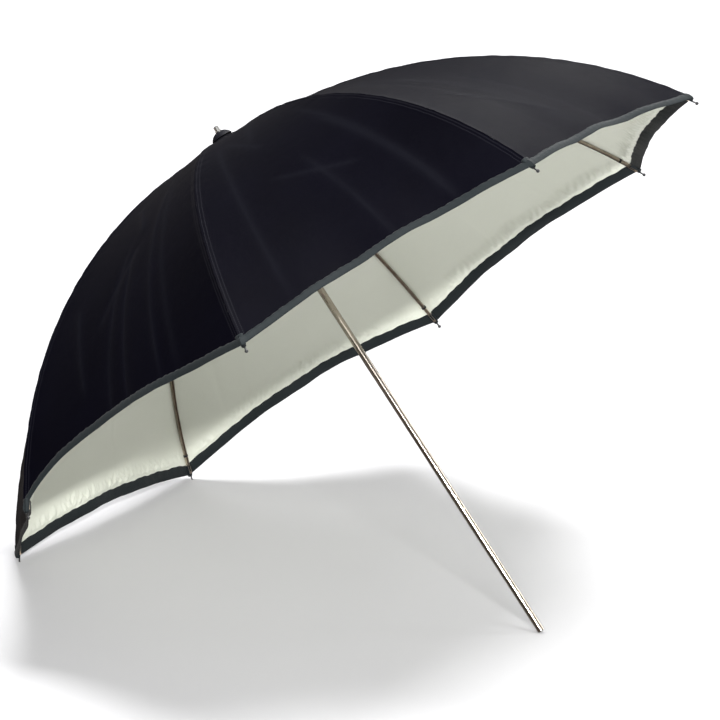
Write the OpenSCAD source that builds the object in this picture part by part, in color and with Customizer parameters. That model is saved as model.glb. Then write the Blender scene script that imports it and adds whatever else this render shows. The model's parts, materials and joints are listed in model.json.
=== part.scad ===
// Convertible studio umbrella: a white satin canopy under a separate black cover, on eight ribs.
// +Z runs up the shaft, with the origin at the centre of the shaft's lower end. Rib 1 is on +X.

/* [Shaft] */
// Outside diameter of the shaft
shaft_d = 8; // [7:0.5:10]
// Wall of the shaft tube
shaft_wall = 0.7; // [0.5:0.1:1]
// Height of the rib hinge above the lower end of the shaft
crown_z = 642; // [600:1:700]
// Height of the ferrule's tip above the rib hinge
ferrule_h = 25; // [22:1:28]
// Height of the cap's rim above the rib hinge
cap_rise = 10.5; // [10:0.5:12]
// Diameter of the rounded cap over the crown
cap_d = 25; // [21:1:26]

/* [Frame] */
// Radius of the wire ring that the ribs hinge on
hinge_r = 8; // [7.5:0.5:9]
// Radius of the wire ring that the stretchers hinge on
runner_hinge_r = 10; // [9:0.5:11]
// Radius of the arc that each rib is bent to
profile_r = 535; // [500:1:560]
// Angle of that arc from the crown to the rib's tip
sweep = 58.7; // [56:0.1:62]
// Width of the rib's channel
rib_w = 3.2; // [3:0.1:3.6]
// Depth of the rib's channel
rib_h = 3; // [2.6:0.1:3.2]
// Arc angle from the crown to the stretcher's rivet
rivet_angle = 21.8; // [20:0.1:24]
// Length of a stretcher between its two pivots
stretcher_l = 218; // [212:1:226]
// Length of the rod and ball beyond the end of a rib
tip_l = 11; // [8:1:14]

/* [Runner and latch] */
// Length of the runner's tube below its hinge ring
runner_l = 48; // [40:1:60]
// Wall of the runner's tube
runner_wall = 1.2; // [1:0.1:1.6]
// Height of the rivet that holds the latch spring
latch_rivet_z = 422; // [415:1:430]
// Height of the rolled crimp that keeps the latch spring from dropping down the tube
crimp_z = 410; // [400:1:412]

/* [Canopy] */
// How far the crown of the canopy is lifted, where it lies over the crown notch
crown_lift = 7.5; // [5:0.1:7.6]
// How far each panel's hem curves in towards the crown, half way between two ribs
scallop = 25; // [10:1:30]
// How far the middle of a panel falls inside the straight line between its ribs, at the hem
sag = 16; // [8:1:20]
// Width of the band of cover that shows past the satin's edge
hem_band = 12; // [8:1:16]
// Space between the back of a rib and the satin
rib_gap = 1.2; // [1.1:0.1:1.5]
// Thickness of the satin
satin_t = 0.3; // [0.2:0.1:0.6]
// Thickness of the cover
cover_t = 0.5; // [0.4:0.1:0.8]

/* [Hidden] */
ribs = 8;
pitch = 360 / ribs;
half = pitch / 2;
each_rib = [1:ribs];

wire_r = 0.6;
play = 0.15;
layer_gap = 0.6;
lift_l = 45;
sheet_rows = 16;
seam_gap = 0.3;
steel_t = 0.6;
rivet_r = 0.8;
canopy_in_r = 9.5;
notch_r = 10.5;
notch_h = 4;
slot_w = 1.8;
eye_t = 1.2;
eye_r = 1.5;
neck_l = 4;
runner_head_r = 12.5;
runner_head_h = 5;
latch_az = 270;
crimp_w = 2;
crimp_depth = 0.3;
plug_l = 8;
cap_h = 8;

shaft_r = shaft_d / 2;
shaft_in = shaft_r - shaft_wall;
arc_z = crown_z - profile_r;
mm_angle = 180 / (PI * profile_r);
rib_end = sweep - tip_l * mm_angle;
cloth_end = rib_end + 2 * mm_angle;
rivet_depth = rib_h / 2;
cover_gap = rib_gap + satin_t + layer_gap;
runner_in = shaft_r + 0.5;
runner_out = runner_in + runner_wall;

// A point [radius, height] on the rib's arc, at an angle from the crown and a distance outside the arc
function profile(angle, out = 0) =
    [hinge_r + (profile_r + out) * sin(angle), arc_z + (profile_r + out) * cos(angle)];

rivet = profile(rivet_angle, -rivet_depth);
runner_z = rivet[1] - sqrt(pow(stretcher_l, 2) - pow(rivet[0] - runner_hinge_r, 2));
stretcher_angle = atan2(rivet[1] - runner_z, rivet[0] - runner_hinge_r);
runner_low = runner_z - runner_l;

$fn = 48;

// Turns a sub-part drawn in the X-Z plane to the azimuth of rib i
module at_rib(i) {
    rotate([0, 0, (i - 1) * pitch]) children();
}

// A ring of round wire about the shaft
module wire_ring(ring_r, z, r) {
    translate([0, 0, z]) rotate_extrude() translate([ring_r, 0]) circle(r = r);
}

// Lays an X-Y drawing in the X-Z plane and turns it about the rib arc's centre, to an angle from the crown
module on_arc(angle) {
    translate([hinge_r, 0, arc_z]) rotate([90, 0, 0]) rotate([0, 0, 90 - angle]) children();
}

// A round bar along Y, centred on its middle
module cross_pin(r, length) {
    rotate([90, 0, 0]) cylinder(r = r, h = length, center = true);
}

module shaft_tube() {
    latch_low = latch_rivet_z + 10;
    color("silver") difference() {
        cylinder(r = shaft_r, h = crown_z + notch_h / 2);
        translate([0, 0, -1]) cylinder(r = shaft_in, h = crown_z + notch_h / 2 + 2);
        translate([0, 0, crimp_z]) rotate_extrude() translate([shaft_r - crimp_depth, 0]) square(crimp_w);
        rotate([0, 0, latch_az]) {
            translate([shaft_in / 2, -1.1, latch_low]) cube([shaft_r, 2.2, runner_low - latch_low]);
            translate([0, 0, latch_rivet_z]) rotate([0, 90, 0]) cylinder(r = rivet_r, h = shaft_d);
        }
    }
}

module end_plug() {
    color("dimgray") cylinder(r = shaft_in, h = plug_l);
}

module latch_rivet() {
    color("dimgray") rotate([0, 0, latch_az]) translate([0, 0, latch_rivet_z]) rotate([0, 90, 0]) {
        translate([0, 0, shaft_in - 1]) cylinder(r = rivet_r, h = shaft_r - shaft_in + 1);
        translate([0, 0, shaft_r]) cylinder(r1 = 1.5, r2 = 1.1, h = 0.3);
    }
}

// The catch is a bent leaf: its nose stands out under the runner and its stem hangs in the tube
module latch_catch() {
    nose_z = runner_low - 0.4;
    stem_x = shaft_in - 1.3;
    nose_x = shaft_r + 2.4;
    color("gray") rotate([0, 0, latch_az]) rotate([90, 0, 0]) translate([0, 0, -0.9])
        linear_extrude(height = 1.8) polygon([
            [stem_x - 0.8, latch_rivet_z + 3],
            [stem_x, latch_rivet_z + 3],
            [stem_x, nose_z - 20],
            [nose_x, nose_z - 1],
            [nose_x, nose_z],
            [stem_x - 0.8, nose_z]
        ]);
}

// The fixed ring at the top, slotted for the ribs' eyes
module crown_notch() {
    color("dimgray") difference() {
        translate([0, 0, crown_z - notch_h / 2]) cylinder(r = notch_r, h = notch_h);
        translate([0, 0, crown_z - notch_h]) cylinder(r = shaft_r + 0.02, h = 2 * notch_h);
        wire_ring(hinge_r, crown_z, wire_r + 0.05);
        for (i = each_rib) at_rib(i) {
            translate([hinge_r - eye_r - 0.5, -slot_w / 2, crown_z - notch_h]) cube([notch_r, slot_w, 2 * notch_h]);
        }
    }
}

module crown_wire() {
    color("silver") wire_ring(hinge_r, crown_z, wire_r);
}

// A low dome that hides the crown of the canopy
module cap() {
    cap_r = cap_d / 2;
    dome_r = (pow(cap_r, 2) + pow(cap_h, 2)) / (2 * cap_h);
    color("black") translate([0, 0, crown_z + cap_rise]) rotate_extrude() difference() {
        intersection() {
            translate([0, cap_h - dome_r]) circle(r = dome_r);
            square([cap_r, cap_h]);
        }
        square([shaft_in, cap_h]);
    }
}

// The ferrule plugs into the shaft and holds the cap down
module ferrule() {
    ferrule_r = 2.9;
    shank_l = 12;
    collar_h = 1;
    seat_z = crown_z + cap_rise + cap_h;
    top_z = crown_z + ferrule_h;
    color("silver") {
        translate([0, 0, crown_z - shank_l]) cylinder(r = shaft_in - 0.02, h = seat_z - crown_z + shank_l);
        translate([0, 0, seat_z]) cylinder(r = ferrule_r + 0.6, h = collar_h);
        translate([0, 0, seat_z]) cylinder(r = ferrule_r, h = top_z - seat_z - collar_h);
        translate([0, 0, top_z - 1]) cylinder(r1 = ferrule_r, r2 = ferrule_r - 1, h = 1);
    }
}

// The runner: a tube that slides on the shaft, with a slotted head for the stretchers
module runner_tube() {
    head_z = runner_z - runner_head_h / 2;
    color("dimgray") difference() {
        union() {
            translate([0, 0, runner_low]) cylinder(r = runner_out, h = runner_l);
            translate([0, 0, head_z]) cylinder(r = runner_head_r, h = runner_head_h);
            translate([0, 0, runner_low]) cylinder(r = runner_out + 0.8, h = 3);
        }
        translate([0, 0, runner_low - 1]) cylinder(r = runner_in, h = runner_l + 10);
        wire_ring(runner_hinge_r, runner_z, wire_r + 0.05);
        for (i = each_rib) at_rib(i) {
            translate([runner_hinge_r - 2.2, -slot_w / 2, head_z - 1])
                cube([runner_head_r, slot_w, runner_head_h + 2]);
        }
    }
}

module runner_wire() {
    color("silver") wire_ring(runner_hinge_r, runner_z, wire_r);
}

// A rib: a steel channel bent to an arc, with a thin eye at the crown and a flattened end
module rib(i) {
    start = neck_l * mm_angle;
    color("gray") at_rib(i) difference() {
        union() {
            on_arc(rib_end) rotate_extrude(angle = rib_end - start) translate([profile_r - rib_h, -rib_w / 2])
                difference() {
                    square([rib_h, rib_w]);
                    translate([-1, steel_t]) square([rib_h - steel_t + 1, rib_w - 2 * steel_t]);
                }
            on_arc(start + 3 * mm_angle) rotate_extrude(angle = start + 2 * mm_angle)
                translate([profile_r - rib_h + 0.3, -eye_t / 2]) square([rib_h - 0.5, eye_t]);
            translate([hinge_r, 0, crown_z]) cross_pin(eye_r, eye_t);
            on_arc(rib_end) rotate_extrude(angle = 8 * mm_angle) translate([profile_r - rib_h + 0.4, -rib_w / 2])
                square([rib_h - 0.4, rib_w]);
        }
        translate([hinge_r, 0, crown_z]) cross_pin(wire_r + play, 2 * eye_t);
        translate([rivet[0], 0, rivet[1]]) cross_pin(rivet_r, 2 * rib_w);
    }
}

// A thin rod that is set into the end of a rib, with a ball on it
module rib_tip(i) {
    rod_r = 0.9;
    ball_r = 1.9;
    rod_l = tip_l - ball_r;
    color("dimgray") at_rib(i) translate([hinge_r, 0, arc_z]) rotate([0, rib_end, 0])
        translate([0, 0, profile_r - rib_h / 2]) rotate([0, 90, 0]) {
            translate([0, 0, 0.05]) cylinder(r = rod_r, h = rod_l);
            translate([0, 0, rod_l]) sphere(r = ball_r);
        }
}

// A stretcher in the X-Z plane, from its rivet towards the runner. It stops just short of the runner's wire.
module stretcher(i) {
    fork_in = rib_w / 2 + 0.2;
    fork_l = 15;
    bridge_x = 9;
    bar_w = 2.6;
    bar_h = 3;
    head_x = stretcher_l - wire_r - 0.35 - 1;
    blade_l = 8;
    color("gray") at_rib(i) translate([rivet[0], 0, rivet[1]]) rotate([0, 180 - stretcher_angle, 0]) {
        for (side = [-1, 1]) {
            translate([0, side * (fork_in + steel_t / 2), 0]) {
                cross_pin(1.4, steel_t);
                translate([0, -steel_t / 2, -bar_h / 2]) cube([fork_l, steel_t, bar_h]);
            }
        }
        translate([bridge_x, -fork_in, -bar_h / 2]) cube([fork_l - bridge_x, 2 * fork_in, bar_h]);
        translate([fork_l - 1, -bar_w / 2, -bar_h / 2]) cube([head_x - blade_l - fork_l + 1, bar_w, bar_h]);
        translate([head_x - blade_l - 1, -eye_t / 2, -1]) cube([blade_l + 1, eye_t, 2]);
        translate([head_x, 0, 0]) cross_pin(1, eye_t);
        cross_pin(rivet_r - 0.08, 2 * fork_in + 2 * steel_t + 1);
    }
}

// One point of a stretched panel between two ribs. across is 0 at rib 1 and 1 at rib 2, along is 0 at the
// crown and 1 at the hem, and out is the distance outside the ribs' arc. The cloth is drawn up under the cap,
// and falls inside the line between its ribs by an amount that grows with the square of the panel's width.
function cloth_point(across, along, out, end) =
    let (
        middle = 1 - pow(2 * across - 1, 2),
        start = (canopy_in_r - hinge_r) * mm_angle,
        angle = start + (end - scallop * mm_angle * middle - start) * along,
        lift = crown_lift * pow(1 - min(1, (angle - start) / (lift_l * mm_angle)), 2),
        fall = sag * middle * pow(sin(angle) / sin(end), 2),
        at = profile(angle, out + lift - fall),
        turn = pitch * across,
        radius = at[0] * cos(half) / cos(turn - half)
    )
    [radius * cos(turn), radius * sin(turn), at[1]];

// A thin closed sheet over part of a panel, from one share of its width to another, clear of its neighbours
module sheet(from, to, inner, thickness, end, columns, rows) {
    nc = columns + 1;
    nr = rows + 1;
    side = nc * nr;
    points = [
        for (out = [inner, inner + thickness], r = [0:rows], c = [0:columns])
        let (
            across = from + (to - from) * c / columns,
            p = cloth_point(across, r / rows, out, end),
            shift = seam_gap / 2 * (1 - 2 * c / columns),
            turn = pitch * across
        )
        p + shift * [-sin(turn), cos(turn), 0]
    ];
    rim = concat(
        [for (c = [0:columns - 1]) c],
        [for (r = [0:rows - 1]) columns + r * nc],
        [for (c = [0:columns - 1]) side - 1 - c],
        [for (r = [0:rows - 1]) (rows - r) * nc]
    );
    faces = concat(
        [for (r = [0:rows - 1], c = [0:columns - 1]) let (a = r * nc + c) [a, a + 1, a + nc + 1]],
        [for (r = [0:rows - 1], c = [0:columns - 1]) let (a = r * nc + c) [a, a + nc + 1, a + nc]],
        [for (r = [0:rows - 1], c = [0:columns - 1]) let (a = side + r * nc + c) [a, a + nc + 1, a + 1]],
        [for (r = [0:rows - 1], c = [0:columns - 1]) let (a = side + r * nc + c) [a, a + nc, a + nc + 1]],
        [for (k = [0:len(rim) - 1]) let (a = rim[k], b = rim[(k + 1) % len(rim)]) [a, b + side, b]],
        [for (k = [0:len(rim) - 1]) let (a = rim[k], b = rim[(k + 1) % len(rim)]) [a, a + side, b + side]]
    );
    polyhedron(points, faces);
}

// The satin panel between rib i and the next one
module satin_panel(i) {
    color("white") at_rib(i)
        sheet(0, 1, rib_gap, satin_t, cloth_end - hem_band * mm_angle, 8, sheet_rows);
}

// The cover's half panel on each side of a rib: left is anticlockwise from the rib, seen from above
module cover_left(i) {
    color("black") at_rib(i)
        sheet(0, 0.5, cover_gap, cover_t, cloth_end, 4, sheet_rows);
}

module cover_right(i) {
    color("black") at_rib(i - 1)
        sheet(0.5, 1, cover_gap, cover_t, cloth_end, 4, sheet_rows);
}

shaft_tube();
end_plug();
latch_rivet();
latch_catch();
crown_notch();
crown_wire();
cap();
ferrule();
runner_tube();
runner_wire();
for (i = each_rib) {
    rib(i);
    rib_tip(i);
    stretcher(i);
    satin_panel(i);
    cover_left(i);
    cover_right(i);
}
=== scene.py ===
"""The looks of the umbrella reflector: cloth, trim, materials, floor, light and camera, around the CAD frame.

The umbrella's shaft is the Z axis. It lies on the floor on two rib tips and the shaft's lower end, so the
floor slopes as the plane through those three points does. Each cloth panel is made as two halves, one by each
of its ribs.
"""

import json
import math

import bpy
import numpy as np
from mathutils import Matrix, Vector


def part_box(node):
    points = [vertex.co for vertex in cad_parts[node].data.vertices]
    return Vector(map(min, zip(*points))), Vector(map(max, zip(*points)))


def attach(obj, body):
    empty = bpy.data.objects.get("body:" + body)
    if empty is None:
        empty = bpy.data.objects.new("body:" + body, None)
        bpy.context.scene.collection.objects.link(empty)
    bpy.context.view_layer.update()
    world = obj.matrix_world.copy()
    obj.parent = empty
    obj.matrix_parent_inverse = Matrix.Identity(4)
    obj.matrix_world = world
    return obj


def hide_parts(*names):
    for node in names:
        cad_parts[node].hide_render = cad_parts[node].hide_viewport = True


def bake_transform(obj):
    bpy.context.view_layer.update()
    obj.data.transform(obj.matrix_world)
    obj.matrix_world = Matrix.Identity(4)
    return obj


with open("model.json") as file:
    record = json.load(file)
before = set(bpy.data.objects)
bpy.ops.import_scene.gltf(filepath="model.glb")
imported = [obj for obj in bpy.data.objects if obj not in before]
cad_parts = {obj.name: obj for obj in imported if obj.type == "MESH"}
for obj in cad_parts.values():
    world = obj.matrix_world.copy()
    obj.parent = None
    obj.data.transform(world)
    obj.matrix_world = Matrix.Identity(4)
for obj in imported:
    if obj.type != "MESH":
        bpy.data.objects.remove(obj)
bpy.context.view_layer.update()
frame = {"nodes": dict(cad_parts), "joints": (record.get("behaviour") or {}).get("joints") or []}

# ---------------------------------------------------------------- sizes, from the frame

RIBS = 8
PITCH = 2 * math.pi / RIBS
HALF = PITCH / 2
JOINTS = {j["name"]: j for j in frame["joints"]}
HINGE_R, _, CROWN_Z = JOINTS["rib_1_hinge"]["pos_m"]


def vertices(node):
    """The corners of a CAD node, one row each, in metres."""
    return np.array([v.co for v in frame["nodes"][node].data.vertices], float)


def farthest(node):
    """The corner of a node that is farthest along +X."""
    found = vertices(node)
    return found[found[:, 0].argmax()]


def arc_radius():
    """The radius of the arc that a rib is bent to. The arc is level at the crown hinge."""
    x, _, z = farthest("rib_1")
    across, drop = x - HINGE_R, CROWN_Z - z
    return (across**2 + drop**2) / (2 * drop)


ARC_R = arc_radius()
ARC_Z = CROWN_Z - ARC_R


def arc_angle(node):
    """The angle from the crown at which a node on rib 1's line ends."""
    x, _, z = farthest(node)
    return math.atan2(x - HINGE_R, z - ARC_Z)


RIB_END = arc_angle("rib_1")
COVER_END = arc_angle("cover_left_1")
SATIN_END = arc_angle("satin_panel_1")
CANOPY_IN = float(np.hypot(*vertices("cover_left_1")[:, :2].T).min())
CANOPY_START = (CANOPY_IN - HINGE_R) / ARC_R

# Distances outside the ribs' backs, as the CAD solids have them. Near the crown both cloths rise to the cap
SATIN_OUT = 0.0012
COVER_OUT = 0.0021
CLOTH_T = 0.0003
CROWN_LIFT = 0.0075
LIFT_L = 0.045

# Rounded measures of a panel, for its creases and seams: its length, its hem's width, and its spread for each
# metre from the crown
PANEL_L = 0.56
HEM_W = 0.36
SPREAD = 0.72

# Each panel's hem curves in towards the crown (scallop) and falls inside the line between its ribs (sag). A lean
# other than 1 moves its deepest point towards one rib
PANELS = {
    1: dict(scallop=0.012, sag=0.005, lean=1.0),
    2: dict(scallop=0.021, sag=0.011, lean=1.0),
    3: dict(scallop=0.035, sag=0.026, lean=1.0),
    4: dict(scallop=0.018, sag=0.011, lean=1.0),
    5: dict(scallop=0.020, sag=0.010, lean=1.0),
    6: dict(scallop=0.036, sag=0.005, lean=0.62),
    7: dict(scallop=0.021, sag=0.013, lean=1.0),
    8: dict(scallop=0.014, sag=0.005, lean=1.0),
}

# The hem: its uneven edge, its slow waves and their reach into the cloth, and its tape outside and inside
HEM_WANDER = 0.00035
HEM_WAVE = 0.0016
HEM_WAVE_L = 0.05
HEM_TAPE_W = 0.009
INNER_TAPE_W = 0.0134
TAPE_LIP = 0.0004
TAPE_RIPPLE = 0.0002

# The tape bulges outside. Each pair is a share of its width, from the edge, and its height over the cover
TAPE_CROWN = (
    (1.0, 0.0),
    (1.0, 0.0003),
    (0.85, 0.0008),
    (0.62, 0.0012),
    (0.38, 0.0012),
    (0.15, 0.0008),
    (0.0, 0.0004),
)

# The felled seam over each rib, with the cloth's pulls along it
SEAM_RIDGE = 0.0005
SEAM_W = 0.0035
SEAM_EDGE = 0.0012
SEAM_GROOVE = 0.00015
PULL = 0.00022
PULL_L = 0.010

# The stitches by each seam: two rows at these distances, the thread, and how much of each pitch it shows
STITCH_ROWS = (0.0022, 0.0052)
STITCH_W = 0.0007
STITCH_PITCH = 0.0026
STITCH_SHARE = 0.68

# The taut cloth's dip between ribs and its length, and its old fold lines: their depths, their width, and how
# wide and how strong the painted highlight along them is
TAUT_DIP = 0.002
TAUT_DIP_L = 0.57
DIAGONAL_CREASE = 0.0010
LONG_CREASE = 0.0009
CREASE_W = 0.0045
FOLD_HIGHLIGHT_W = 0.0026
FOLD_HIGHLIGHT_SHARE = 0.42

# The satin's puckers along its stitched hem: mean height, play, reach from the hem, and wave lengths
PUCKER = 0.0017
PUCKER_PLAY = 0.0014
PUCKER_REACH = 0.023
PUCKER_WAVES = (0.0058, 0.0071, 0.0088, 0.0115, 0.016)

# The cover's neck under the cap
NECK_GAP = 0.0001
NECK_GATHER = 0.00012

# The pocket at each rib's end: its length, how far it passes the hem, and its half width and height
POCKET_L = 0.013
POCKET_PAST = 0.0014
POCKET_HALF = (0.0046, 0.0032)

# The thread lashings: where along a rib, their turns, the thread and the loop that they wind
TIES_AT = (0.42, 0.66, 0.955)
TIE_TURNS = 4
TIE_PITCH = 0.0006
THREAD_R = 0.00032
TIE_HALF = (0.0026, 0.0021)
TIE_OUT = -0.0013

# How the cloth's turn is shared out from its rib to its pleat when it folds
FOLD_POWER = 1.3

# Blender's wave texture repeats about this many times in a metre at scale 1
WAVE_PER_METRE = 3.1416

# The meshes' columns across half a panel, their rows, and the share of the length that the hem rows take
COVER_COLUMNS = 40
SATIN_COLUMNS = 84
BODY_ROWS = 90
HEM_ROWS = 36
HEM_SHARE = 0.12


# ---------------------------------------------------------------- small helpers


def smooth(x):
    """A smooth step from 0 at x = 0 to 1 at x = 1."""
    x = np.clip(x, 0, 1)
    return x * x * (3 - 2 * x)


def bump(x):
    """A smooth hump: 1 at x = 0, and 0 at and beyond x = 1 on both sides."""
    return smooth(1 - np.abs(x))


def at_rib(rib, point):
    """A point of rib 1's plane, turned to another rib."""
    turn = (rib - 1) * PITCH
    x, y, z = point
    return Vector((x * math.cos(turn) - y * math.sin(turn), x * math.sin(turn) + y * math.cos(turn), z))


def arc_point(angle, out=0.0):
    """The point in rib 1's plane at an angle from the crown and a distance outside the ribs' backs."""
    return Vector((HINGE_R + (ARC_R + out) * math.sin(angle), 0, ARC_Z + (ARC_R + out) * math.cos(angle)))


def mesh_object(name, points, faces, uvs=None, material=None):
    """A smooth-shaded mesh piece. uvs holds named maps, each with one pair of metres for each point."""
    mesh = bpy.data.meshes.new(name)
    mesh.from_pydata([tuple(p) for p in points], [], faces)
    mesh.shade_smooth()
    loops = np.zeros(len(mesh.loops), np.int32)
    mesh.loops.foreach_get("vertex_index", loops)
    for key, pairs in (uvs or {}).items():
        layer = mesh.uv_layers.new(name=key)
        layer.data.foreach_set("uv", np.asarray(pairs, np.float32).reshape(-1, 2)[loops].ravel())
    if material:
        mesh.materials.append(material)
    obj = bpy.data.objects.new(name, mesh)
    bpy.context.collection.objects.link(obj)
    return obj


def sharpen_rim(obj):
    """Keeps the shading of a sheet's face apart from that of its cut edges."""
    count = {}
    for face in obj.data.polygons:
        for key in face.edge_keys:
            count[key] = count.get(key, 0) + 1
    for edge in obj.data.edges:
        edge.use_edge_sharp = count[edge.key] == 1


def thicken(obj):
    """Gives a sheet of cloth its thickness, inwards from its face."""
    thick = obj.modifiers.new("thickness", "SOLIDIFY")
    thick.thickness = CLOTH_T
    thick.offset = -1


def grid_faces(rows, columns, flip=False):
    """The quads of a grid of points stored row by row."""
    faces = []
    for r in range(rows - 1):
        for c in range(columns - 1):
            a = r * columns + c
            quad = (a, a + 1, a + columns + 1, a + columns)
            faces.append(quad[::-1] if flip else quad)
    return faces


def sweep(path, radius, sides=10):
    """The points and faces of a closed round bar along a path of points."""
    path = [Vector(p) for p in path]
    points, faces = [], []
    side = Vector((0, 0, 1))
    for k, p in enumerate(path):
        along = (path[min(k + 1, len(path) - 1)] - path[max(k - 1, 0)]).normalized()
        if abs(side.dot(along)) < 0.99:
            side = (side - along * side.dot(along)).normalized()
        else:
            side = along.orthogonal()
        other = along.cross(side)
        for s in range(sides):
            turn = 2 * math.pi * s / sides
            points.append(p + radius * (math.cos(turn) * side + math.sin(turn) * other))
    for k in range(len(path) - 1):
        for s in range(sides):
            a, b = k * sides + s, k * sides + (s + 1) % sides
            faces.append((a, b, b + sides, a + sides))
    faces.append(tuple(range(sides))[::-1])
    faces.append(tuple(range((len(path) - 1) * sides, len(path) * sides)))
    return points, faces


# ---------------------------------------------------------------- the canopy's shape


def between_ribs(panel, across):
    """0 at a panel's ribs and 1 where its hem is farthest from the line between them."""
    return 1 - (2 * across ** PANELS[panel]["lean"] - 1) ** 2


def hem_angle(panel, across, end):
    """Where a panel's hem lies, from the crown: it curves in between two ribs and wanders a little."""
    turn = 2 * math.pi * across
    wander = np.sin(3.4 * turn + 2 * panel) + 0.6 * np.sin(8.3 * turn + panel)
    curve = PANELS[panel]["scallop"] * between_ribs(panel, across)
    curve = curve + HEM_WANDER * wander * 4 * across * (1 - across)
    return end - curve / ARC_R


def crease(across, s, start, end, width):
    """A fold line pressed into the cloth by storage. start and end are (across, distance from the crown)."""
    x, y = across * HEM_W * s / PANEL_L, s
    x0, y0 = start[0] * HEM_W * start[1] / PANEL_L, start[1]
    x1, y1 = end[0] * HEM_W * end[1] / PANEL_L, end[1]
    length = math.hypot(x1 - x0, y1 - y0)
    along = ((x - x0) * (x1 - x0) + (y - y0) * (y1 - y0)) / length**2
    off = ((x - x0) * (y1 - y0) - (y - y0) * (x1 - x0)) / length
    ends = smooth(along / 0.2) * smooth((1 - along) / 0.2)
    return ends * np.exp(-np.abs(off) / width)


def panel_creases(panel):
    """The fold lines of one panel, three slanted and four long ones, each with its two ends and its depth."""
    rng = np.random.default_rng(panel)
    found = []
    for k in range(3):
        start = (rng.uniform(0.12, 0.45), rng.uniform(0.08, 0.35))
        end = (start[0] + rng.uniform(0.15, 0.45), start[1] + rng.uniform(0.04, 0.16))
        if k % 2:
            start, end = (start[0], end[1]), (end[0], start[1])
        found.append((start, end, rng.uniform(-DIAGONAL_CREASE, DIAGONAL_CREASE)))
    for _ in range(4):
        x = rng.uniform(0.15, 0.85)
        start, end = (x, rng.uniform(0.12, 0.3)), (x + rng.uniform(-0.06, 0.06), 0.54)
        found.append((start, end, rng.uniform(-LONG_CREASE, LONG_CREASE)))
    return found


def seam_distance(across, s):
    """The distance from the nearer rib's seam."""
    return np.minimum(across, 1 - across) * SPREAD * s


def panel_relief(panel, across, s, hem_gap):
    """How far the stretched cloth of one panel stands off the straight surface between its ribs."""
    rng = np.random.default_rng(100 + panel)
    middle = 4 * across * (1 - across)
    relief = -TAUT_DIP * middle * np.sin(math.pi * np.clip(s / TAUT_DIP_L, 0, 1)) ** 2
    for start, end, depth in panel_creases(panel):
        relief = relief + depth * crease(across, s, start, end, CREASE_W)
    phase, waves = rng.uniform(0, 6.28), rng.uniform(2.2, 3.4)
    near_hem = np.exp(-np.maximum(hem_gap, 0) / HEM_WAVE_L)
    relief = relief + HEM_WAVE * near_hem * middle * np.sin(2 * math.pi * waves * across + phase)
    seam = seam_distance(across, s)
    pulls = np.sin(s / 0.0052 + 2.0 * np.sin(s * 31 + panel)) + 0.6 * np.sin(s / 0.0031 + panel)
    return relief + PULL * pulls * np.exp(-seam / PULL_L) * smooth(s / 0.05)


def cloth_points(panel, across, angle, out):
    """The points of a panel's cloth, for arrays of across (0 at its first rib, 1 at the next) and angle."""
    lift = CROWN_LIFT * (1 - np.clip((angle - CANOPY_START) * ARC_R / LIFT_L, 0, 1)) ** 2
    fall = PANELS[panel]["sag"] * between_ribs(panel, across) * (np.sin(angle) / math.sin(COVER_END)) ** 2
    radius = HINGE_R + (ARC_R + out + lift - fall) * np.sin(angle)
    height = ARC_Z + (ARC_R + out + lift - fall) * np.cos(angle)
    turn = PITCH * across
    radius = radius * math.cos(HALF) / np.cos(turn - HALF)
    turn = turn + (panel - 1) * PITCH
    return np.stack([radius * np.cos(turn), radius * np.sin(turn), height], axis=-1)


def half_across(side, columns):
    """The positions across a panel of one half's columns, from its rib to the panel's middle."""
    half = np.linspace(0, 0.5, columns)
    return half if side == "left" else 1 - half


def half_panel(name, panel, side, make_out, end, material, columns):
    """Half of a panel's cloth as a grid, from its rib (first column) to the panel's middle (last column).
    side is "left" for the half by the panel's first rib. make_out gives the distance outside the ribs."""
    body = np.linspace(0, 1 - HEM_SHARE, BODY_ROWS, endpoint=False)
    along = np.concatenate([body, np.linspace(1 - HEM_SHARE, 1, HEM_ROWS)])
    across, t = np.meshgrid(half_across(side, columns), along)
    hem = hem_angle(panel, across, end)
    angle = CANOPY_START + (hem - CANOPY_START) * t
    s = angle * ARC_R
    hem_gap = (hem - angle) * ARC_R
    out = make_out(panel, across, s, hem_gap)
    points = cloth_points(panel, across, angle, out).reshape(-1, 3)
    width = 2 * math.sin(HALF) * (HINGE_R + ARC_R * np.sin(angle))
    uvs = {
        "cloth": np.stack([across * width, s], axis=-1),
        "hem": np.stack([across * width, hem_gap], axis=-1),
        "seam": np.stack([np.minimum(across, 1 - across) * width, s], axis=-1),
    }
    faces = grid_faces(len(along), columns, flip=side == "right")
    obj = mesh_object(name, points, faces, uvs, material)
    # Painted highlight: this mask paints the cover paler along its old fold lines
    fold_highlight = sum(crease(across, s, begin, finish, FOLD_HIGHLIGHT_W) for begin, finish, _ in panel_creases(panel))
    wear_and_fold_highlight = obj.data.attributes.new("wear_and_fold_highlight", "FLOAT", "POINT")
    wear_and_fold_highlight.data.foreach_set("value", np.clip(fold_highlight, 0, 1).ravel())
    return obj, fold_share(across)


def fold_share(across):
    """How far the cloth follows its pleat: 0 at the rib and 1 at the panel's middle."""
    return 1 - (1 - 2 * np.minimum(across, 1 - across).ravel()) ** FOLD_POWER


def fold_with(obj):
    """Bakes a piece's transform into its mesh."""
    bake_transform(obj)


# ---------------------------------------------------------------- materials


def new_material(name, colour, roughness, metallic=0.0):
    """A node material with one Principled shader, which it returns with its node tree."""
    material = bpy.data.materials.new(name)
    material.use_nodes = True
    shader = material.node_tree.nodes["Principled BSDF"]
    shader.inputs["Base Color"].default_value = (*colour, 1)
    shader.inputs["Roughness"].default_value = roughness
    shader.inputs["Metallic"].default_value = metallic
    return material, material.node_tree, shader


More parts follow.
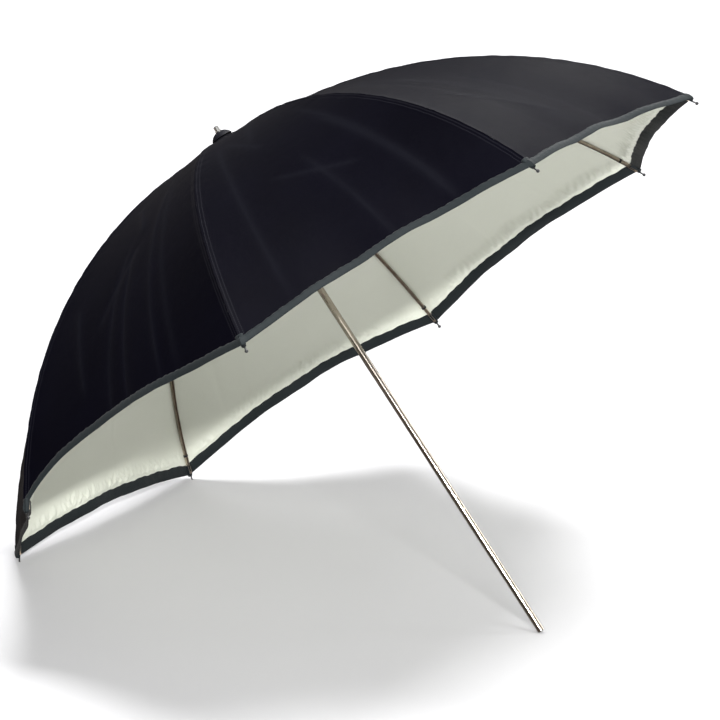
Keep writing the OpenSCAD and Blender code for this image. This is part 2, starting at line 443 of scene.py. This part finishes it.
def node(tree, kind, inputs=None, **settings):
    """Adds a node, sets its properties, and sets or links its inputs."""
    made = tree.nodes.new(kind)
    for key, value in settings.items():
        setattr(made, key, value)
    for key, value in (inputs or {}).items():
        if isinstance(value, bpy.types.NodeSocket):
            tree.links.new(value, made.inputs[key])
        else:
            made.inputs[key].default_value = value
    return made


def noise(tree, vector, scale, detail=3.0, roughness=0.5):
    """A noise pattern over a vector."""
    inputs = {"Vector": vector, "Scale": scale, "Detail": detail, "Roughness": roughness}
    return node(tree, "ShaderNodeTexNoise", inputs).outputs["Fac"]


def colour_between(tree, factor, low, high, start=0.3, end=0.7):
    """A colour ramp from one colour to another."""
    ramp = node(tree, "ShaderNodeValToRGB", {"Fac": factor})
    ramp.color_ramp.elements[0].position = start
    ramp.color_ramp.elements[0].color = (*low, 1)
    ramp.color_ramp.elements[1].position = end
    ramp.color_ramp.elements[1].color = (*high, 1)
    return ramp.outputs["Color"]


def vary_roughness(tree, shader, pattern, low, high):
    """Lets a pattern set the shader's roughness."""
    made = node(tree, "ShaderNodeMapRange", {"Value": pattern, "To Min": low, "To Max": high})
    tree.links.new(made.outputs["Result"], shader.inputs["Roughness"])


def maths(tree, operation, a, b):
    """One arithmetic step."""
    return node(tree, "ShaderNodeMath", {0: a, 1: b}, operation=operation).outputs[0]


def weave_height(tree, uv, pitch):
    """The height of a plain weave: warp and weft threads that pass over each other."""
    parts = []
    scale = 1 / pitch / WAVE_PER_METRE
    for direction in ("X", "Y"):
        wave = node(
            tree,
            "ShaderNodeTexWave",
            {"Vector": uv, "Scale": scale, "Distortion": 0.6, "Detail": 1.0, "Detail Scale": 1.5},
            wave_type="BANDS",
            bands_direction=direction,
            wave_profile="SIN",
        )
        parts.append(wave.outputs["Fac"])
    return maths(tree, "MULTIPLY", *parts)


def set_bump(tree, shader, height, strength, distance):
    """Gives the shader a bump from a height pattern."""
    made = node(tree, "ShaderNodeBump", {"Height": height, "Strength": strength, "Distance": distance})
    tree.links.new(made.outputs["Normal"], shader.inputs["Normal"])
    return made


def cloth_material(name, dark, light, roughness, sheen, sheen_tint, weave_pitch, weave_bump):
    """Woven cloth: uneven dye, a plain weave, soft rumples and a sheen."""
    material, tree, shader = new_material(name, light, roughness)
    uv = node(tree, "ShaderNodeUVMap", uv_map="cloth").outputs["UV"]
    patches = noise(tree, uv, 9.0, 4.0)
    threads = noise(tree, uv, 900.0, 2.0)
    mixed = maths(tree, "ADD", maths(tree, "MULTIPLY", patches, 0.7), maths(tree, "MULTIPLY", threads, 0.3))
    tree.links.new(colour_between(tree, mixed, dark, light, 0.35, 0.65), shader.inputs["Base Color"])
    vary_roughness(tree, shader, patches, roughness - 0.06, roughness + 0.08)
    shader.inputs["Sheen Weight"].default_value = sheen
    shader.inputs["Sheen Roughness"].default_value = 0.45
    shader.inputs["Sheen Tint"].default_value = (*sheen_tint, 1)
    rumples = noise(tree, uv, 55.0, 3.0, 0.55)
    coarse = node(tree, "ShaderNodeBump", {"Height": rumples, "Strength": 0.25, "Distance": 0.0012})
    fine = set_bump(tree, shader, weave_height(tree, uv, weave_pitch), weave_bump, 0.00015)
    tree.links.new(coarse.outputs["Normal"], fine.inputs["Normal"])
    return material, tree, shader


def stitches(tree, uv, distance):
    """1 on a dashed line of thread at a distance from the edge that the first coordinate is measured from."""
    split = node(tree, "ShaderNodeSeparateXYZ", {"Vector": uv})
    off = maths(tree, "ABSOLUTE", maths(tree, "SUBTRACT", split.outputs["X"], distance), 0.0)
    line = maths(tree, "LESS_THAN", off, STITCH_W / 2)
    along = maths(tree, "FRACT", maths(tree, "DIVIDE", split.outputs["Y"], STITCH_PITCH), 0.0)
    return maths(tree, "MULTIPLY", line, maths(tree, "LESS_THAN", along, STITCH_SHARE))


def mix_colour(tree, factor, low, high):
    """A colour that goes from low, a socket, to high as the factor rises."""
    made = node(tree, "ShaderNodeMix", data_type="RGBA")
    tree.links.new(factor, made.inputs["Factor"])
    tree.links.new(low, made.inputs[6])
    made.inputs[7].default_value = (*high, 1)
    return made.outputs[2]


def black_cover_material():
    """Black nylon with a hint of navy, with a painted highlight along its old folds, and two rows of stitches by
    each seam that are painted paler than the cloth as a painted highlight of the seam's ridges.
    """
    material, tree, shader = cloth_material(
        "black_nylon",
        dark=(0.0008, 0.0007, 0.0022),
        light=(0.0013, 0.0012, 0.0034),
        roughness=0.50,
        sheen=0.006,
        sheen_tint=(0.96, 0.92, 1.0),
        weave_pitch=0.0006,
        weave_bump=0.35,
    )
    shader.inputs["Specular IOR Level"].default_value = 0.02
    dyed = shader.inputs["Base Color"].links[0].from_socket
    # Painted highlight: the cover is painted paler along its old fold lines
    wear_and_fold_highlight = node(tree, "ShaderNodeAttribute", attribute_name="wear_and_fold_highlight").outputs["Fac"]
    fold_highlight = mix_colour(tree, maths(tree, "MULTIPLY", wear_and_fold_highlight, FOLD_HIGHLIGHT_SHARE), dyed, (0.0065, 0.0068, 0.010))
    seam = node(tree, "ShaderNodeUVMap", uv_map="seam").outputs["UV"]
    # The stitches are painted paler than the black cloth, as a painted highlight of the seam's ridges
    thread = maths(tree, "ADD", *(stitches(tree, seam, row) for row in STITCH_ROWS))
    sewn = mix_colour(tree, thread, fold_highlight, (0.011, 0.011, 0.014))
    tree.links.new(sewn, shader.inputs["Base Color"])
    return material


def satin_material():
    """White satin, smooth and slightly shiny, with small puckers where it is stitched."""
    material, tree, shader = cloth_material(
        "white_satin",
        dark=(0.63, 0.648, 0.558),
        light=(0.66, 0.678, 0.588),
        roughness=0.36,
        sheen=0.05,
        sheen_tint=(1.0, 1.0, 1.0),
        weave_pitch=0.0004,
        weave_bump=0.15,
    )
    shader.inputs["Specular IOR Level"].default_value = 0.75
    hem_uv = node(tree, "ShaderNodeUVMap", uv_map="hem").outputs["UV"]
    hem_gap = node(tree, "ShaderNodeSeparateXYZ", {"Vector": hem_uv}).outputs["Y"]
    near = node(tree, "ShaderNodeMapRange", {"Value": hem_gap, "From Min": 0.026, "From Max": 0.003})
    stretched = node(tree, "ShaderNodeMapping", {"Vector": hem_uv, "Scale": (1.0, 0.35, 1.0)})
    folds = noise(tree, stretched.outputs["Vector"], 330.0, 2.0, 0.6)
    height = maths(tree, "MULTIPLY", folds, near.outputs["Result"])
    weave = shader.inputs["Normal"].links[0].from_node
    rumples = weave.inputs["Normal"].links[0].from_node
    gathered = node(tree, "ShaderNodeBump", {"Height": height, "Strength": 0.9, "Distance": 0.0009})
    tree.links.new(gathered.outputs["Normal"], rumples.inputs["Normal"])
    return material


def tape_material():
    """Slate satin binding, dull and slightly rumpled."""
    material, _, shader = cloth_material(
        "slate_tape",
        dark=(0.0106, 0.0138, 0.0152),
        light=(0.0168, 0.0204, 0.0220),
        roughness=0.56,
        sheen=0.04,
        sheen_tint=(1.0, 0.97, 0.93),
        weave_pitch=0.0005,
        weave_bump=0.3,
    )
    shader.inputs["Specular IOR Level"].default_value = 0.07
    return material


def metal_material(name, dark, light, roughness, scale, stretch=1.0):
    """Metal with faint wear and a roughness that varies. stretch draws the wear out along the shaft."""
    material, tree, shader = new_material(name, light, roughness, 1.0)
    where = node(tree, "ShaderNodeTexCoord").outputs["Object"]
    mapped = node(tree, "ShaderNodeMapping", {"Vector": where, "Scale": (1, 1, stretch)}).outputs["Vector"]
    wear_and_fold_highlight = noise(tree, mapped, scale, 5.0, 0.6)
    tree.links.new(colour_between(tree, wear_and_fold_highlight, dark, light, 0.3, 0.62), shader.inputs["Base Color"])
    vary_roughness(tree, shader, wear_and_fold_highlight, roughness + 0.10, roughness - 0.06)
    set_bump(tree, shader, noise(tree, mapped, scale * 9, 3.0), 0.08, 0.0002)
    return material


def plastic_material(name, colour, roughness, specular=0.5):
    """Moulded plastic with a fine grain."""
    material, tree, shader = new_material(name, colour, roughness)
    shader.inputs["Specular IOR Level"].default_value = specular
    where = node(tree, "ShaderNodeTexCoord").outputs["Object"]
    grain = noise(tree, where, 900.0, 2.0)
    blotch = noise(tree, where, 60.0, 3.0)
    lighter = tuple(1.5 * c + 0.002 for c in colour)
    tree.links.new(colour_between(tree, blotch, colour, lighter), shader.inputs["Base Color"])
    vary_roughness(tree, shader, blotch, roughness - 0.05, roughness + 0.08)
    set_bump(tree, shader, grain, 0.15, 0.0002)
    return material


BLACK_COVER = black_cover_material()
WHITE_SATIN = satin_material()
SLATE_TAPE = tape_material()
SHAFT_METAL = metal_material(
    "shaft_nickel", (0.29, 0.25, 0.21), (0.44, 0.39, 0.34), 0.11, scale=40.0, stretch=0.15
)
RIB_STEEL = metal_material("rib_steel", (0.36, 0.30, 0.24), (0.58, 0.51, 0.43), 0.36, scale=120.0)
BRIGHT_METAL = metal_material("bright_nickel", (0.62, 0.61, 0.58), (0.80, 0.79, 0.76), 0.15, scale=90.0)
BLACK_STEEL = plastic_material("black_enamel", (0.012, 0.012, 0.013), 0.35)
DARK_PLASTIC = plastic_material("dark_plastic", (0.014, 0.014, 0.016), 0.42)
CAP_PLASTIC = plastic_material("cap_plastic", (0.003, 0.003, 0.005), 0.55, specular=0.12)
THREAD = plastic_material("black_thread", (0.010, 0.010, 0.012), 0.75)

NODE_MATERIALS = {
    "shaft_tube": SHAFT_METAL,
    "end_plug": DARK_PLASTIC,
    "latch_rivet": RIB_STEEL,
    "latch_catch": RIB_STEEL,
    "crown_notch": BRIGHT_METAL,
    "crown_wire": BRIGHT_METAL,
    "cap": CAP_PLASTIC,
    "ferrule": BRIGHT_METAL,
    "runner_tube": DARK_PLASTIC,
    "runner_wire": BRIGHT_METAL,
}
for i in range(1, RIBS + 1):
    NODE_MATERIALS[f"rib_{i}"] = RIB_STEEL
    NODE_MATERIALS[f"rib_tip_{i}"] = BLACK_STEEL
    NODE_MATERIALS[f"stretcher_{i}"] = RIB_STEEL

for name, material in NODE_MATERIALS.items():
    slots = frame["nodes"][name].data.materials
    slots.clear()
    slots.append(material)


# ---------------------------------------------------------------- cloth


def cover_relief(panel, across, s, hem_gap):
    """The cover's outside: the panel's relief and the felled seam that runs over each rib."""
    seam = seam_distance(across, s)
    ridge = SEAM_RIDGE * smooth((SEAM_W + 0.0008 - seam) / SEAM_EDGE)
    groove = -SEAM_GROOVE * bump((seam - SEAM_W - 0.001) / SEAM_EDGE)
    return COVER_OUT + CLOTH_T + panel_relief(panel, across, s, hem_gap) + (ridge + groove) * smooth(s / 0.06)


def satin_relief(panel, across, s, hem_gap):
    """The satin: the panel's relief, with small puckers along its stitched hem that stand inwards."""
    rng = np.random.default_rng(50 + panel)
    x = across * SPREAD * s
    crumple = 0
    for wave in PUCKER_WAVES:
        slant = rng.uniform(-0.9, 0.9)
        wander = 2.0 * np.sin(s * rng.uniform(60, 160) + x * rng.uniform(40, 90) + rng.uniform(0, 6.28))
        crumple = crumple + np.sin(2 * math.pi * (x + slant * s) / wave + wander) / 2
    gap = np.maximum(hem_gap, 0) + 0.002 * np.sin(x / 0.019 + panel) + 0.0015 * np.sin(x / 0.0071)
    gathered = smooth(gap / 0.006) * smooth((PUCKER_REACH - gap) / 0.013) * smooth((hem_gap - 0.0015) / 0.004)
    middle = smooth(np.minimum(across, 1 - across) / 0.04)
    tufts = 0.5 + 0.5 * np.sin(x / 0.026 + 3 * np.sin(x / 0.043 + panel))
    puckers = -np.maximum(PUCKER + PUCKER_PLAY * crumple * (0.45 + 0.55 * tufts), 0.0001) * gathered * middle
    cover_gap = hem_gap + (COVER_END - SATIN_END) * ARC_R
    return SATIN_OUT + panel_relief(panel, across, s, cover_gap) + puckers


def add_cover_and_satin():
    """Both cloths of all eight panels, as halves. Returns the sheets, to add their trim to."""
    made = {}
    for panel in range(1, RIBS + 1):
        next_rib = panel % RIBS + 1
        for side, rib in (("left", panel), ("right", next_rib)):
            cover, weights = half_panel(
                f"cover_cloth_{side}_{rib}", panel, side, cover_relief, COVER_END, BLACK_COVER, COVER_COLUMNS
            )
            sharpen_rim(cover)
            thicken(cover)
            fold_with(cover)
            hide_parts(f"cover_{side}_{rib}")
            satin, weights = half_panel(
                f"satin_cloth_{side}_{rib}", panel, side, satin_relief, SATIN_END, WHITE_SATIN, SATIN_COLUMNS
            )
            fold_with(satin)
            made[side, rib] = (cover, satin, panel)
    for rib in range(1, RIBS + 1):
        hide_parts(f"satin_panel_{rib}")
    return made


def tape_relief(panel, across, angle):
    """The cover's own surface under the hem tape."""
    s = angle * ARC_R
    hem_gap = (hem_angle(panel, across, COVER_END) - angle) * ARC_R
    return cover_relief(panel, across, s, hem_gap)


def add_hem_tape(rib, side, panel):
    """The binding of one half hem: a strip outside, round the edge and up the inside."""
    columns = COVER_COLUMNS * 2
    outside = [(HEM_TAPE_W * share, height) for share, height in TAPE_CROWN]
    edge = [(-0.0007, 0.0), (-0.0008, -0.0003)]
    inside = [(0.0, -0.0009), (0.0010, -0.0012), (INNER_TAPE_W - TAPE_LIP, -0.0017), (INNER_TAPE_W, -0.0013)]
    gap, out = np.array(outside + edge + inside).T
    across, gaps = np.meshgrid(half_across(side, columns), gap)
    gaps = gaps * (1 + 0.035 * np.sin(across * 57 + panel) + 0.025 * np.sin(across * 139 + 2 * panel))
    outs = np.repeat(out[:, None], columns, axis=1)
    angle = hem_angle(panel, across, COVER_END) - gaps / ARC_R
    ripple = TAPE_RIPPLE * np.sin(across * 2 * math.pi * 37 + panel) * smooth(gaps / HEM_TAPE_W) * (outs > 0)
    raised = tape_relief(panel, across, angle) + outs + ripple
    points = cloth_points(panel, across, angle, raised).reshape(-1, 3)
    width = 2 * math.sin(HALF) * (HINGE_R + ARC_R * np.sin(angle))
    along = np.concatenate([[0], np.cumsum(np.hypot(np.diff(gap), np.diff(out)))])
    uvs = {"cloth": np.stack([across * width, np.repeat(along[:, None], columns, axis=1)], axis=-1)}
    faces = grid_faces(len(gap), columns, flip=side == "left")
    tape = mesh_object(f"hem_tape_{side}_{rib}", points, faces, uvs, SLATE_TAPE)
    fold_with(tape)
    return tape


def add_tip_pocket(rib):
    """The small sewn pocket of tape that holds the cover's corner on the end of a rib."""
    start = COVER_END - POCKET_L / ARC_R
    end = COVER_END + POCKET_PAST / ARC_R
    rows, columns = 14, 20
    points = []
    for r in range(rows):
        t = r / (rows - 1)
        angle = start + (end - start) * t
        centre = arc_point(angle, COVER_OUT - 0.0020)
        outward = Vector((math.sin(angle), 0, math.cos(angle)))
        wide = POCKET_HALF[0] - 0.0022 * t**1.5
        tall = POCKET_HALF[1] - 0.0009 * t
        for c in range(columns):
            turn = 2 * math.pi * c / columns
            x, y = math.cos(turn), math.sin(turn)
            flat = (abs(x) ** 3 + abs(y) ** 3) ** (-1 / 3)
            points.append(at_rib(rib, centre + Vector((0, wide * flat * x, 0)) + outward * (tall * flat * y)))
    faces = []
    for r in range(rows - 1):
        for c in range(columns):
            a, b = r * columns + c, r * columns + (c + 1) % columns
            faces.append((a, b, b + columns, a + columns))
    uvs = {"cloth": [(0.001 * (k % columns), 0.0012 * (k // columns)) for k in range(len(points))]}
    pocket = mesh_object(f"tip_pocket_{rib}", points, faces, uvs, SLATE_TAPE)
    thicken(pocket)
    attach(pocket, f"rib_{rib}")
    return pocket


def add_crown_neck():
    """The cover's gathered neck, under the cap. It keeps the crown closed when the ribs are folded."""
    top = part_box("cap")[0][2] - NECK_GAP
    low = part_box("crown_notch")[1][2]
    inside = CANOPY_IN * math.cos(HALF) - NECK_GAP * 6
    profile = [
        (inside, top),
        (inside, top - 0.0020),
        (inside + 0.0012, top - 0.0032),
        (inside + 0.0032, top - 0.0042),
        (inside + 0.0060, low + 0.0032),
        (inside + 0.0070, low + 0.0018),
    ]
    radius, height = np.array(profile).T
    along = np.concatenate([[0], np.cumsum(np.hypot(np.diff(radius), np.diff(height)))])
    rows, columns = 19, 193
    steps = np.linspace(0, along[-1], rows)
    turn, length = np.meshgrid(np.linspace(0, 2 * math.pi, columns), steps)
    gathers = NECK_GATHER * (np.sin(31 * turn) + 0.6 * np.sin(47 * turn + 1.7)) * smooth(length / 0.003)
    wide = np.interp(length, along, radius) + gathers
    high = np.interp(length, along, height)
    points = np.stack([wide * np.cos(turn), wide * np.sin(turn), high], axis=-1).reshape(-1, 3)
    uvs = {"cloth": np.stack([turn * inside, length], axis=-1)}
    neck = mesh_object("crown_neck", points, grid_faces(rows, columns, flip=True), uvs, BLACK_COVER)
    thicken(neck)
    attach(neck, "shaft")
    return neck


def add_rib_ties(rib):
    """Thread lashings that hold the satin to its rib."""
    points, faces = [], []
    steps = 20
    for share in TIES_AT:
        path = []
        for k in range(TIE_TURNS * steps + 1):
            turn = 2 * math.pi * k / steps
            angle = RIB_END * share + (k / steps - TIE_TURNS / 2) * TIE_PITCH / ARC_R
            outward = Vector((math.sin(angle), 0, math.cos(angle)))
            sideways = Vector((0, TIE_HALF[0] * math.cos(turn), 0))
            loop = arc_point(angle, TIE_OUT) + sideways + outward * (TIE_HALF[1] * math.sin(turn))
            path.append(at_rib(rib, loop))
        bar_points, bar_faces = sweep(path, THREAD_R, 6)
        faces += [tuple(corner + len(points) for corner in face) for face in bar_faces]
        points += bar_points
    ties = mesh_object(f"rib_ties_{rib}", points, faces, None, THREAD)
    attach(ties, f"rib_{rib}")


CLOTHS = add_cover_and_satin()
POCKETS = {rib: add_tip_pocket(rib) for rib in range(1, RIBS + 1)}
CROWN_NECK = add_crown_neck()
for (side, rib), (cover, satin, panel) in CLOTHS.items():
    tape = add_hem_tape(rib, side, panel)
    trim = [tape, POCKETS[rib]] if side == "left" else [tape]
    if (side, rib) == ("left", 1):
        trim.append(CROWN_NECK)
for i in range(1, RIBS + 1):
    add_rib_ties(i)


# ---------------------------------------------------------------- floor, light and camera


def middle_of(node):
    """The middle of a node's box at rest."""
    low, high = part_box(node)
    return (Vector(low) + Vector(high)) / 2


# The floor lies a tip's radius under the plane through the shaft's foot, at the origin, and two rib tips
TIP_R = 0.0019
FLOOR_UP = middle_of("rib_tip_4").cross(middle_of("rib_tip_5")).normalized()
if FLOOR_UP.z < 0:
    FLOOR_UP.negate()
FLOOR_HALF = 14.0

CAMERA_AT = Vector((1.031, -4.847, -0.1225))
CAMERA_FORWARD = Vector((-0.2082, 0.9733, 0.0969)).normalized()
CAMERA_UP = Vector((0.5483, 0.0341, 0.8356))
LOOK_AT = CAMERA_AT + CAMERA_FORWARD * 4.9
LIT_MIDDLE = Vector((0, 0, 0.42))


def toward(azimuth, elevation):
    """A direction over the floor. Azimuth 0 is straight towards the camera's side, and 90 is to its right."""
    back = CAMERA_AT - LOOK_AT
    back = (back - FLOOR_UP * back.dot(FLOOR_UP)).normalized()
    right = FLOOR_UP.cross(back).normalized()
    a, e = math.radians(azimuth), math.radians(elevation)
    return (back * math.cos(a) + right * math.sin(a)) * math.cos(e) + FLOOR_UP * math.sin(e)


def add_camera():
    """The viewpoint: low, from beside the open edge, with a long lens."""
    data = bpy.data.cameras.new("camera")
    data.lens = 225.0
    data.sensor_width = 36.0
    data.clip_end = 60.0
    camera = bpy.data.objects.new("camera", data)
    back = -CAMERA_FORWARD
    right = CAMERA_UP.cross(back).normalized()
    up = back.cross(right)
    rotation = Matrix((right, up, back)).transposed().to_4x4()
    camera.matrix_world = Matrix.Translation(CAMERA_AT) @ rotation
    bpy.context.collection.objects.link(camera)
    bpy.context.scene.camera = camera


def add_floor():
    """A large pale floor that is seen only from above, and is darker in reflections."""
    material = bpy.data.materials.new("floor")
    material.use_nodes = True
    tree = material.node_tree
    shader = tree.nodes["Principled BSDF"]
    shader.inputs["Base Color"].default_value = (0.522, 0.520, 0.529, 1)
    shader.inputs["Roughness"].default_value = 0.9
    shader.inputs["Specular IOR Level"].default_value = 0.1
    clear = node(tree, "ShaderNodeBsdfTransparent")
    facing = node(tree, "ShaderNodeNewGeometry").outputs["Backfacing"]
    dim = node(tree, "ShaderNodeBsdfDiffuse", {"Color": (0.12, 0.105, 0.097, 1)})
    mirrored = node(tree, "ShaderNodeLightPath").outputs["Is Glossy Ray"]
    front = node(tree, "ShaderNodeMixShader", {0: mirrored, 1: shader.outputs[0], 2: dim.outputs[0]})
    mixed = node(tree, "ShaderNodeMixShader", {0: facing, 1: front.outputs[0], 2: clear.outputs[0]})
    tree.links.new(mixed.outputs[0], tree.nodes["Material Output"].inputs["Surface"])
    side = FLOOR_UP.orthogonal().normalized()
    other = FLOOR_UP.cross(side)
    centre = FLOOR_UP * -TIP_R
    corners = [centre + FLOOR_HALF * (x * side + y * other) for x, y in ((-1, -1), (1, -1), (1, 1), (-1, 1))]
    floor = mesh_object("floor", corners, [(0, 1, 2, 3)], None, material)


def add_area_light(name, azimuth, elevation, distance, size, energy):
    """A soft light that faces the canopy and isn't seen itself. Its first side lies square to the shaft."""
    data = bpy.data.lights.new(name, "AREA")
    data.shape = "RECTANGLE"
    data.size, data.size_y = size
    data.energy = energy
    light = bpy.data.objects.new(name, data)
    direction = toward(azimuth, elevation)
    side = Vector((0, 0, 1)).cross(direction).normalized()
    turned = Matrix((side, direction.cross(side), direction)).transposed().to_4x4()
    light.matrix_world = Matrix.Translation(LIT_MIDDLE + direction * distance) @ turned
    light.visible_camera = False
    bpy.context.collection.objects.link(light)


def add_world():
    """A white backdrop to the camera, and a soft light for everything else that is brighter from one side."""
    world = bpy.data.worlds.new("studio")
    world.use_nodes = True
    tree = world.node_tree
    backdrop = tree.nodes["Background"]
    backdrop.inputs["Color"].default_value = (1, 1, 1, 1)
    backdrop.inputs["Strength"].default_value = 1.0
    direction = node(tree, "ShaderNodeTexCoord").outputs["Generated"]
    bright_side = tuple(toward(azimuth=102, elevation=34))
    facing = node(tree, "ShaderNodeVectorMath", {0: direction, 1: bright_side}, operation="DOT_PRODUCT")
    strength = node(
        tree,
        "ShaderNodeMapRange",
        {"Value": facing.outputs["Value"], "From Min": -0.6, "From Max": 1.0, "To Min": 0.06, "To Max": 0.52},
        interpolation_type="SMOOTHSTEP",
    ).outputs["Result"]
    light = node(tree, "ShaderNodeBackground", {"Color": (1, 1, 1, 1), "Strength": strength})
    seen = node(tree, "ShaderNodeLightPath").outputs["Is Camera Ray"]
    mixed = node(tree, "ShaderNodeMixShader", {0: seen, 1: light.outputs[0], 2: backdrop.outputs[0]})
    tree.links.new(mixed.outputs[0], tree.nodes["World Output"].inputs["Surface"])
    bpy.context.scene.world = world


add_camera()
add_floor()
add_world()
add_area_light("key_overhead", azimuth=150, elevation=80, distance=8.0, size=(3.4, 3.4), energy=1215)
add_area_light("edge_right", azimuth=113, elevation=26, distance=4.0, size=(0.9, 0.9), energy=30)
add_area_light("strip_front", azimuth=4, elevation=25.6, distance=4.6, size=(1.8, 0.08), energy=290)
add_area_light("back_rim", azimuth=170, elevation=30, distance=5.0, size=(1.4, 1.4), energy=46)
bpy.context.scene.view_settings.view_transform = "Standard"
